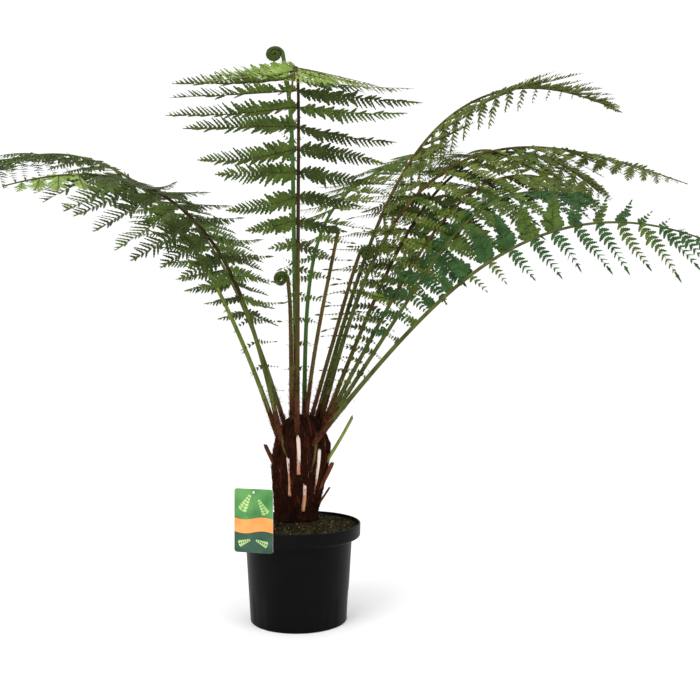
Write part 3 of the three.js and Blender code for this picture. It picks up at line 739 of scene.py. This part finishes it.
def frond_ribs(frond, path, pinna):
    """The frond's rib, whose foot reaches into the crown, and its leaflets' midribs."""
    made = Patches()
    radii = rib_radius(frond, np.linspace(0, 1, FROND_STEPS + 1))
    sunk = path[0][:1] - path[1][:1] * FOOT_SINK
    rib, faces = tube(np.vstack([sunk, path[0]]), np.concatenate([radii[:1], radii]), RIB_SIDES)
    place = faces.min(1) // RIB_SIDES / FROND_STEPS + random.normal(0, 0.012, len(faces))
    hairy = STALK_HAIRY_REACH / frond["length"]
    made.add(rib, faces, np.digitize(place, [hairy, *RIB_CHANGES]))
    s = np.broadcast_to(np.linspace(0, 1, MIDRIB_RINGS), (len(pinna["u"]), MIDRIB_RINGS))
    thick = np.minimum(1.1, 0.3 + pinna["reach"] / 150)[:, None] * (1 - 0.85 * s)
    return made.add(*strands(spine(pinna, s)[0], thick, 4), len(frond["rib"]))


def frond_pieces(name, frond, limbs):
    path = rib_path(frond)
    pinna = pinna_habit(frond, pinna_frames(frond, path))
    nodes = [name + "_lower", name + "_upper"]
    tints = [LEAVES[tint] for tint in frond["tints"]]
    pinnules(frond, pinna, limbs).piece("leaves_" + name, tints, "frond", nodes)
    kinds = [HAIRY] + [STALKS[kind] for kind in frond["rib"]]
    frond_ribs(frond, path, pinna).piece("ribs_" + name, kinds, "frond", nodes, smooth=True)


# Young shoots

def coil_points(end, tangent, coil):
    radius, turns, direction = coil
    curl = polar(direction, 1, 0)
    curl = unit(curl - tangent * curl.dot(tangent))
    centre = end + curl * radius
    share = (np.arange(COIL_RINGS) + 1) / COIL_RINGS
    angle = 2 * math.pi * turns * share
    r = radius * (1 - COIL_TIGHTENS * turns * share)
    points = centre - np.outer(r * np.cos(angle), curl) + np.outer(r * np.sin(angle), tangent)
    return points, centre


def hairs(feet, ways, length, radius):
    """Fine hairs that leave their feet along ways and bend over a little."""
    count = len(feet)
    reach = length * (0.55 + 0.9 * random.random(count))[:, None]
    ways = unit(ways + HAIR_STRAY * random.normal(0, 1, (count, 3)))
    bend = unit(ways + HAIR_CURL * random.normal(0, 1, (count, 3)) - 0.25 * UP)
    middle = feet + ways * reach * 0.5
    tip = middle + bend * reach * 0.5
    points = np.stack([feet - ways * 0.6, middle, tip], 1)
    return strands(points, np.array([radius, radius * 0.8, radius * 0.15]))


def along_limb(points, radii, count, share=1.0):
    """Random feet on the first share of a limb, and the way each points: out and a bit up."""
    place = share * random.random(count) * (len(points) - 1.001)
    i = np.floor(place).astype(int)
    part = (place - i)[:, None]
    centre = points[i] * (1 - part) + points[i + 1] * part
    tangent = unit(points[i + 1] - points[i])
    out = random.normal(0, 1, (count, 3))
    out = unit(out - tangent * dot(out, tangent))
    return centre + out * radii[i][:, None] * 0.9, unit(out + 0.5 * tangent)


def shoot_pieces(name, shoot, limbs):
    path = rib_path(shoot)
    coil, centre = coil_points(path[0][-1], path[1][-1], shoot["coil"])
    sunk = path[0][:1] - path[1][:1] * FOOT_SINK
    points = np.vstack([sunk, path[0], coil])
    stalk_radii = np.linspace(shoot["stalk"], shoot["thick"][0], FROND_STEPS + 2)
    coil_radii = np.linspace(*shoot["thick"], COIL_RINGS)
    radii = np.concatenate([stalk_radii, coil_radii])
    body = Patches()
    skin, faces = tube(points, radii, RIB_SIDES)
    ring = faces.min(1) // RIB_SIDES
    change = random.normal(0.25, 0.03, len(faces)) * FROND_STEPS
    body.add(skin, faces, np.where(ring > FROND_STEPS, 2, ring > change))
    body.add(*rolled_leaflets(coil, centre, coil_radii), 2)
    kinds = [HAIRY, STALKS[shoot["tint"]], LEAVES["deep"]]
    body.piece("stalk_" + name, kinds, "shoot", [name], smooth=True)
    fuzz = Patches()
    for kind, share in ((0, 0.7), (1, 0.3)):
        feet, ways = along_limb(points, radii, int(SHOOT_HAIRS * share))
        fuzz.add(*hairs(feet, ways, shoot["hair"], 0.22), kind)
        feet, ways = along_limb(coil, coil_radii, int(COIL_HAIRS * share))
        fuzz.add(*hairs(feet, ways, 0.6 * shoot["hair"], 0.2), kind)
    fuzz.piece("fuzz_" + name, [FIBRES["dark"], FIBRES["red"]], "shoot", [name])
    if shoot["leaflet"]:
        young_leaves(name, shoot, path, limbs)


def rolled_leaflets(coil, centre, radii):
    """Small curled-up leaflets that sit like beads on the inner side of a coil."""
    base, faces = bead()
    points, shifted = [], []
    for i in range(4, len(coil) - 2, 2):
        inward = unit(centre - coil[i])
        ahead = unit(coil[i + 1] - coil[i - 1])
        beside = np.cross(inward, ahead)
        size = radii[i] * 0.9
        for hand in (1, -1):
            middle = coil[i] + (beside * hand * 0.7 + inward * 0.9) * radii[i]
            shifted.append(faces + len(points) * len(base))
            points.append(middle + base * size)
    return np.vstack(points), np.vstack(shifted)


def bead():
    """A ball of few faces with a radius of one."""
    rings = [(-0.85, 0.5), (0, 1.0), (0.85, 0.5)]
    sides = 5
    points = []
    for height, r in rings:
        for k in range(sides):
            a = 2 * math.pi * k / sides
            points.append((r * math.cos(a), r * math.sin(a), height))
    return np.array(points), ring_faces(len(rings), sides)


def young_leaves(name, shoot, path, limbs):
    """The short leaflets along the young frond, still half rolled."""
    young = {**USUAL, **shoot, **YOUNG_BLADE, "pinna": shoot["leaflet"] * 1.2}
    pinna = pinna_habit(young, pinna_frames(young, path))
    count = len(pinna["u"])
    pinna["sag"] = random.normal(-0.08, 0.04, count)
    pinna["sweep"] = random.normal(0.25, 0.08, count)
    pinna["reach"] = np.clip(pinna["reach"], 6, shoot["leaflet"])
    tints = [LEAVES[tint] for tint in ("bluish", "leafy", "bluish", "tip")]
    pinnules(young, pinna, limbs).piece("leaves_" + name, tints, "shoot", [name])


def limb_points(skip):
    """Points along every stalk but one."""
    found = [rib_path(frond)[0] for name, frond in FRONDS.items() if name != skip]
    found += [rib_path(shoot)[0] for name, shoot in SHOOTS.items() if name != skip]
    return np.vstack(found)


# Trunk

def trunk_at(z):
    """The trunk's radius and sideways shift at a height."""
    return [np.interp(z, TRUNK_RINGS[:, 0], TRUNK_RINGS[:, k]) for k in (1, 2)]


def trunk_surface(angle, z, raised=0.0):
    radius, shift = trunk_at(z)
    radius = radius + raised + TRUNK_RIDGE_DEPTH * np.cos(TRUNK_RIDGES * (angle + TRUNK_TWIST * z))
    return np.stack([shift + radius * np.cos(angle), radius * np.sin(angle), z], -1)


def trunk_core():
    """The trunk's bark in relief: ridges, knots and pits, with its foot on the soil."""
    sides, rows = 150, 80
    heights = np.linspace(TRUNK_RINGS[0, 0], TRUNK_RINGS[-1, 0], rows)
    rings = []
    for z in heights:
        ring = trunk_surface(spread(sides), np.full(sides, z))
        for k, point in enumerate(ring):
            grain = noise.noise(Vector((point[0] / 5, point[1] / 5, z / 26)))
            knots = noise.noise(Vector((point[0] / 16, point[1] / 16, z / 22 + 7)))
            edge = min(1.0, (heights[-1] - z) / 20 + 0.2)
            ring[k, :2] *= 1 + edge * (0.045 * grain + 0.05 * knots)
        rings.append(ring)
    return np.vstack(rings), ring_faces(rows, sides)


def stub(at, foot, length, lean, radius):
    """A cut stalk with a split, frayed end."""
    trunk_r, shift = trunk_at(foot)
    start = polar(at, float(trunk_r) - 3, foot) + np.array([float(shift), 0, 0])
    rise = polar(at, math.sin(math.radians(lean)), math.cos(math.radians(lean)))
    share = np.array([-6 / length, 0, 0.3, 0.6, 0.86, 0.97, 1.0])
    bow = np.outer(np.sin(math.pi * np.clip(share, 0, 1)) * 0.03 * length, polar(at + 70, 1, 0))
    points = start + np.outer(share * length, rise) + bow
    radii = radius * np.array([1.2, 1.12, 1.0, 0.94, 0.92, 0.85, 0.6])
    skin, faces = tube(points, radii, STUB_SIDES)
    skin[-STUB_SIDES:] += np.outer(random.uniform(-3.5, 4.5, STUB_SIDES), rise)
    return skin, faces


def cut_stubs():
    """All the stubs. Tan ones turn cream near their end, and cream ones are tan at their foot."""
    made = Patches()
    kinds = list(CUTS)
    cream, tan = kinds.index("cream"), kinds.index("tan")
    for *place, tint in STUBS:
        skin, faces = stub(*place)
        paints = np.full(len(faces), kinds.index(tint))
        if tint in ("cream", "tan"):
            whitish = (1 if tint == "cream" else 3) + random.normal(0, 0.5, len(faces))
            paints = np.where(faces.min(1) // STUB_SIDES > whitish, cream, tan)
        made.add(skin, faces, paints)
    made.piece("trunk_stubs", CUTS.values(), "trunk", ["trunk"], smooth=True)


def old_bases():
    """Thick hairy bases of old stalks that lie up against the trunk, in rising spirals."""
    made = Patches()
    for k in range(OLD_BASES):
        at = OLD_BASES_TURN * k + random.uniform(-8, 8)
        z = 192 + 142 * (k / (OLD_BASES - 1)) ** 0.9
        angle = math.radians(at)
        length = random.uniform(50, 80)
        share = np.linspace(0, 1, 7)
        heights = np.minimum(z + share * length, 378)
        raised = -3 + 4.2 * share ** 1.4
        points = trunk_surface(np.full(7, angle) + 0.05 * share, heights, raised)
        radii = random.uniform(1.6, 3.2) * np.sin(math.pi * (0.18 + 0.74 * share)) ** 0.7
        made.add(*tube(points, radii, 7), int(random.random() < 0.3))
    made.piece("trunk_bases", [FIBRES["dark"], FIBRES["red"]], "trunk", ["trunk"], smooth=True)


def green_bases():
    """Green lower ends of the living stalks that run up through the fibres at the front."""
    made = Patches()
    for foot, top, heights in ((296, 307, (285, 334)), (248, 216, (305, 346))):
        share = np.linspace(0, 1, 10)
        z = heights[0] + (heights[1] - heights[0]) * share
        angle = np.radians(foot + (top - foot) * share)
        points = trunk_surface(angle, z, -0.5 + 1.5 * np.sin(math.pi * share))
        made.add(*tube(points, np.interp(share, [0, 0.3, 1], [1.2, 2.6, 3.8]), 8))
    made.piece("trunk_green_bases", [STALKS["brown"]], "trunk", ["trunk"], smooth=True)


def trunk_fibres():
    """The mat of fine roots: long strands that lie up the trunk, with loose ends."""
    made = Patches()
    for kind, count, length, lift in TRUNK_FIBRES:
        angle = random.uniform(0, 2 * math.pi, count)
        z = TRUNK_RINGS[0, 0] + 2 + 146 * random.random(count) ** 0.9
        reach = length * random.uniform(0.5, 1.3, count)
        slant = random.normal(0, 0.1, count)
        share = np.linspace(0, 1, 5)[None]
        heights = np.minimum(z[:, None] + reach[:, None] * share, 380)
        heights = heights + np.where(z > 300, 4, 0)[:, None] * share
        raised = -1 + lift * share ** 1.5 * random.uniform(0.4, 2.2, count)[:, None]
        points = trunk_surface(angle[:, None] + slant[:, None] * share, heights, raised)
        thick = np.array([0.5, 0.5, 0.42, 0.3, 0.1]) * (1.3 if kind == 0 else 1.0)
        made.add(*strands(points, thick), kind)
    made.piece("trunk_fibres", FIBRES.values(), "trunk", ["trunk"])


def trunk_hairs():
    """Short hairs that stand off the whole trunk."""
    made = Patches()
    for kind, count in TRUNK_HAIRS:
        angle = random.uniform(0, 2 * math.pi, count)
        feet = trunk_surface(angle, random.uniform(TRUNK_RINGS[0, 0], 372, count), -0.5)
        out = np.stack([np.cos(angle), np.sin(angle), np.full(count, 0.9)], 1)
        made.add(*hairs(feet, unit(out), 4.5, 0.26), kind)
    made.piece("trunk_hairs", FIBRES.values(), "trunk", ["trunk"])


def stalk_fur():
    """Long soft hairs round the foot of every stalk in the crown, thickest near its very foot."""
    made = Patches()
    for limb in [*FRONDS.values(), *SHOOTS.values()]:
        points, _ = rib_path(limb)
        points = points[:round(STALK_HAIRS_REACH / limb["length"] * FROND_STEPS) + 2]
        radii = np.full(len(points), limb["stalk"] * 1.1)
        for kind, count in STALK_HAIRS:
            for stretch, share in ((0.35, 0.6), (0.9, 0.4)):
                feet, ways = along_limb(points, radii, int(count * share), stretch)
                made.add(*hairs(feet, unit(ways + 1.2 * UP), 5.5, 0.28), kind)
    made.piece("crown_fur", FIBRES.values(), "trunk", ["trunk"])


def trunk_pieces():
    Patches().add(*trunk_core()).piece("trunk_bark", [BARK], "trunk", ["trunk"], smooth=True)
    cut_stubs()
    old_bases()
    green_bases()
    trunk_fibres()
    trunk_hairs()
    stalk_fur()


# Soil

def soil_height(x, y):
    r = math.hypot(x, y)
    slope = max(0.0, (r - SOIL_FLAT_R) / (SOIL_EDGE_R - SOIL_FLAT_R))
    humps = 1.6 * noise.noise(Vector((x / 14, y / 14, 2)))
    grains = noise.noise(Vector((x / 4, y / 4, 5)))
    return SOIL_Z + (SOIL_EDGE_Z - SOIL_Z) * slope + (humps + grains) - 0.6


def soil_surface():
    """The soil's rough top, closed off below inside the pot's wall."""
    rings, sides = 56, 120
    points = []
    for r in np.linspace(0.4, SOIL_EDGE_R, rings):
        for k in range(sides):
            a = 2 * math.pi * k / sides
            x, y = r * math.cos(a), r * math.sin(a)
            points.append((x, y, soil_height(x, y)))
    points += [(x, y, SOIL_EDGE_Z - 12) for x, y, _ in points[-sides:]]
    return np.array(points), ring_faces(rings + 1, sides)


def soil_pieces():
    Patches().add(*soil_surface()).piece("soil_bed", [SOIL], "soil", ["soil"], smooth=True)
    crumbs = Patches()
    base, faces = bead()
    for kind, count, largest in SOIL_CRUMBS:
        for _ in range(count):
            r = SOIL_EDGE_R * math.sqrt(random.uniform(0.12, 0.97))
            a = random.uniform(0, 2 * math.pi)
            x, y = r * math.cos(a), r * math.sin(a)
            size = largest * random.uniform(0.25, 1) ** 1.5
            stretch = random.uniform(0.6, 1.4, 3)
            jagged = base * random.uniform(0.75, 1.2, (len(base), 1))
            place = np.array([x, y, soil_height(x, y) + size * 0.2])
            crumbs.add(place + jagged * stretch * size, faces, kind)
    crumbs.piece("soil_crumbs", CRUMBS.values(), "soil", ["soil"])


# Pot

def arc(centre_r, centre_z, radius, start, end, count=6):
    angles = np.radians(np.linspace(start, end, count))
    return [(centre_r + radius * math.cos(a), centre_z + radius * math.sin(a)) for a in angles]


def pot_profile():
    """Radius and height round the wall: underside, body, rim band, lip and inner wall."""
    band_z = POT_RIM_Z - POT_BAND_H
    inner = POT_RIM_R - POT_WALL
    body = [(POT_BASE_R + (POT_BODY_TOP_R - POT_BASE_R) * s, 3 + (band_z - 6) * s)
            for s in np.linspace(0.02, 0.98, 14)]
    return [
        (0.01, 0), (40, 0), (POT_BASE_R - 3, 0),
        *arc(POT_BASE_R - 2.5, 2.5, 2.5, -80, 0),
        *body,
        (POT_BODY_TOP_R + 0.5, band_z - 2), (POT_BODY_TOP_R + 3, band_z - 0.6),
        (POT_BODY_TOP_R + 9, band_z),
        *arc(POT_RIM_R - 4.5, band_z + 4, 4, -80, 0),
        (POT_RIM_R - 0.2, band_z + 12), (POT_RIM_R, POT_RIM_Z - 3),
        *arc(POT_RIM_R - 1.5, POT_RIM_Z - 1.5, 1.5, 0, 180, 8),
        (inner, POT_RIM_Z - 3), (inner - 1, band_z + 4), (POT_BODY_TOP_R - 4, band_z + 1),
        (POT_BASE_R - 5, 4), (0.01, 4),
    ]


def pot_piece():
    """The pot's wall, with shallow upright panels pressed in round its foot."""
    sides = 144
    angles = spread(sides)
    panel = 0.5 + 0.5 * np.tanh(6 * (np.cos(POT_PANELS * angles + 0.5) - 0.2))
    rings = []
    for r, z in pot_profile():
        low = np.clip((POT_PANEL_TOP - z) / 6, 0, 1) * np.clip(z / 6, 0, 1) * (r > POT_BASE_R - 1)
        radius = r - POT_PANEL_DEPTH * low * panel
        x, y = radius * np.cos(angles), radius * np.sin(angles)
        rings.append(np.stack([x, y, np.full(sides, z)], 1))
    wall = Patches().add(np.vstack(rings), ring_faces(len(rings), sides))
    wall.piece("pot_wall", [POT], "pot", ["pot"], smooth=True)


# Label

def rounded_outline(w, h, r, steps=5):
    points = []
    corners = [(w - r, -h + r, -90), (w - r, h - r, 0), (-w + r, h - r, 90), (-w + r, -h + r, 180)]
    for x, y, start in corners:
        for a in np.radians(np.linspace(start, start + 90, steps)):
            points.append((x + r * math.cos(a), y + r * math.sin(a)))
    return points


def sprig(x, y, size, turn):
    """Outlines of a plain sprig: paired oval leaves along a line."""
    shapes = []
    for k in range(SPRIG_PAIRS):
        middle = np.array([x, y]) + size * (k - 2.5) * 0.34 * polar(turn, 1, 0)[:2]
        long = size * (0.55 - 0.075 * k)
        for hand in (1, -1):
            way = polar(turn + hand * SPRIG_ANGLE, 1, 0)[:2]
            side = np.array([-way[1], way[0]])
            oval = []
            for a in np.linspace(0, 2 * math.pi, 9)[:-1]:
                out = way * long * (0.55 + 0.5 * math.cos(a))
                oval.append(tuple(middle + out + side * 0.14 * size * math.sin(a)))
            shapes.append(oval)
    return shapes


def inside(point, outline):
    x, y = point
    hit = False
    for (x0, y0), (x1, y1) in zip(outline, outline[1:] + outline[:1]):
        if (y0 > y) != (y1 > y) and x < (x1 - x0) * (y - y0) / (y1 - y0) + x0:
            hit = not hit
    return hit


def card_loops():
    """Outlines of the card, its hole, its wavy band and its sprigs."""
    w, h = LABEL_W / 2, LABEL_H / 2
    hole_y = h - 3 * LABEL_HOLE_R
    hole = [(LABEL_HOLE_R * math.cos(a), hole_y + LABEL_HOLE_R * math.sin(a))
            for a in np.linspace(0, 2 * math.pi, 15)[:-1]]
    low, high = LABEL_BAND
    xs = np.linspace(-w, w, 15)
    band = [(x, low + 2.5 * math.sin(x / 11)) for x in xs]
    band += [(x, high + 2.5 * math.sin(x / 11)) for x in xs[::-1]]
    upper = sprig(-15, 30, 17, 60) + sprig(17, 24, 15, 120)
    lower = sprig(-18, -38, 12, 20) + sprig(16, -38, 12, 160)
    return rounded_outline(w, h, LABEL_CORNER), hole, band, upper + lower


def card_layers():
    """The card's front, cut along its outlines, with a tint for each face."""
    outline, hole, band, sprigs = card_loops()
    tint = list(LABEL).index
    points, edges = [], []
    for loop in (outline, hole, band, *sprigs):
        start = len(points)
        points += [Vector(p) for p in loop]
        edges += [(start + i, start + (i + 1) % len(loop)) for i in range(len(loop))]
    flat, _, faces, *_ = geometry.delaunay_2d_cdt(points, edges, [], 0, 1e-5)
    kept, tints = [], []
    for face in faces:
        middle = sum((flat[i] for i in face), Vector((0, 0))) / len(face)
        if not inside(middle, outline) or inside(middle, hole):
            continue
        kept.append(tuple(face))
        if inside(middle, band):
            tints.append(tint("orange"))
        elif any(inside(middle, shape) for shape in sprigs):
            tints.append(tint("pale"))
        else:
            tints.append(tint("green" if middle.y > 0 else "dark"))
    return [tuple(p) for p in flat], kept, tints


def label_piece():
    flat, faces, tints = card_layers()
    plain = list(LABEL).index("back")
    count = len(flat)
    front = [(x, 0, y) for x, y in flat]
    back = [(x, LABEL_T, y) for x, y in flat]
    directed = {(f[i], f[(i + 1) % 3]) for f in faces for i in range(3)}
    rims = [(a, b) for a, b in directed if (b, a) not in directed]
    tris = faces + [(a + count, c + count, b + count) for a, b, c in faces]
    paints = tints + [plain] * len(faces)
    for a, b in sorted(rims):
        tris += [(a, a + count, b + count), (a, b + count, b)]
        paints += [plain, plain]
    card = Patches().add(np.array(front + back), np.array(tris), np.array(paints))
    card.add(*hook_strip(), plain)
    made = card.piece("plant_label_card", LABEL.values(), "label", ["plant_label"])
    turn = math.radians(LABEL_TURN)
    c, s = math.cos(turn), math.sin(turn)
    spin = np.array([[c, -s, 0], [s, c, 0], [0, 0, 1]])
    for vertex in made.data.vertices:
        vertex.co = spin @ np.array(vertex.co) + LABEL_CENTRE * MM


def hook_strip():
    """The strip that runs back from the card over the pot's rim and down inside it."""
    top = POT_RIM_Z + 0.3 - LABEL_CENTRE[2]
    outer = [(0.5, top + 1), (8.2, top + 1), (8.8, top + 0.8), (9, top + 0.2), (9, top - 5)]
    inner = [(0.5, top), (7.6, top), (7.9, top - 0.1), (8, top - 0.4), (8, top - 5)]
    section = outer + inner[::-1]
    left = LABEL_HOOK_U - LABEL_HOOK_W / 2
    points = [(u, LABEL_T + y, z) for u in (left, left + LABEL_HOOK_W) for y, z in section]
    n = len(section)
    faces = []
    for i in range(n):
        j = (i + 1) % n
        faces += [(i, i + n, j + n), (i, j + n, j)]
    for i in range(4):
        a, b, c, d = i, i + 1, n - 2 - i, n - 1 - i
        faces += [(a, b, c), (a, c, d), (a + n, c + n, b + n), (a + n, d + n, c + n)]
    return np.array(points, float), np.array(faces)


# Stage

def studio():
    world = bpy.data.worlds.new("studio")
    world.use_nodes = True
    back = world.node_tree.nodes["Background"]
    back.inputs["Color"].default_value = (1, 1, 1, 1)
    back.inputs["Strength"].default_value = 1.05
    bpy.context.scene.world = world
    bpy.context.scene.view_settings.view_transform = "Standard"
    area("key", (-1.6, -2.2, 2.8), 2.2, 60)
    area("fill", (2.4, -1.6, 1.8), 2.0, 24)
    mesh = bpy.data.meshes.new("floor")
    mesh.from_pydata([(-9, -6, 0), (9, -6, 0), (9, 12, 0), (-9, 12, 0)], [], [(0, 1, 2, 3)])
    paper = material("floor_paper", (0.96,) * 3, (0.98,) * 3, 2, 0.9, 0.02, gloss=0.1)
    mesh.materials.append(paper)
    floor = placed("floor", mesh)


def area(name, place, size, power):
    """A soft lamp that shines at the middle of the plant."""
    lamp = bpy.data.lights.new(name, "AREA")
    lamp.size = size
    lamp.energy = power
    lit = placed(name, lamp)
    lit.location = place
    lit.rotation_euler = (Vector((0, 0, 0.5)) - Vector(place)).to_track_quat("-Z", "Y").to_euler()


def camera():
    lens = bpy.data.cameras.new("camera")
    lens.lens = 44.0
    lens.sensor_width = 36.0
    made = placed("camera", lens)
    made.location = (0.0954, -1.6, 0.5016)
    made.rotation_euler = (math.radians(90), 0, 0)
    bpy.context.scene.camera = made


camera()
studio()
pot_piece()
soil_pieces()
trunk_pieces()
for name, frond in FRONDS.items():
    frond_pieces(name, frond, limb_points(name))
for name, shoot in SHOOTS.items():
    shoot_pieces(name, shoot, limb_points(name))
label_piece()
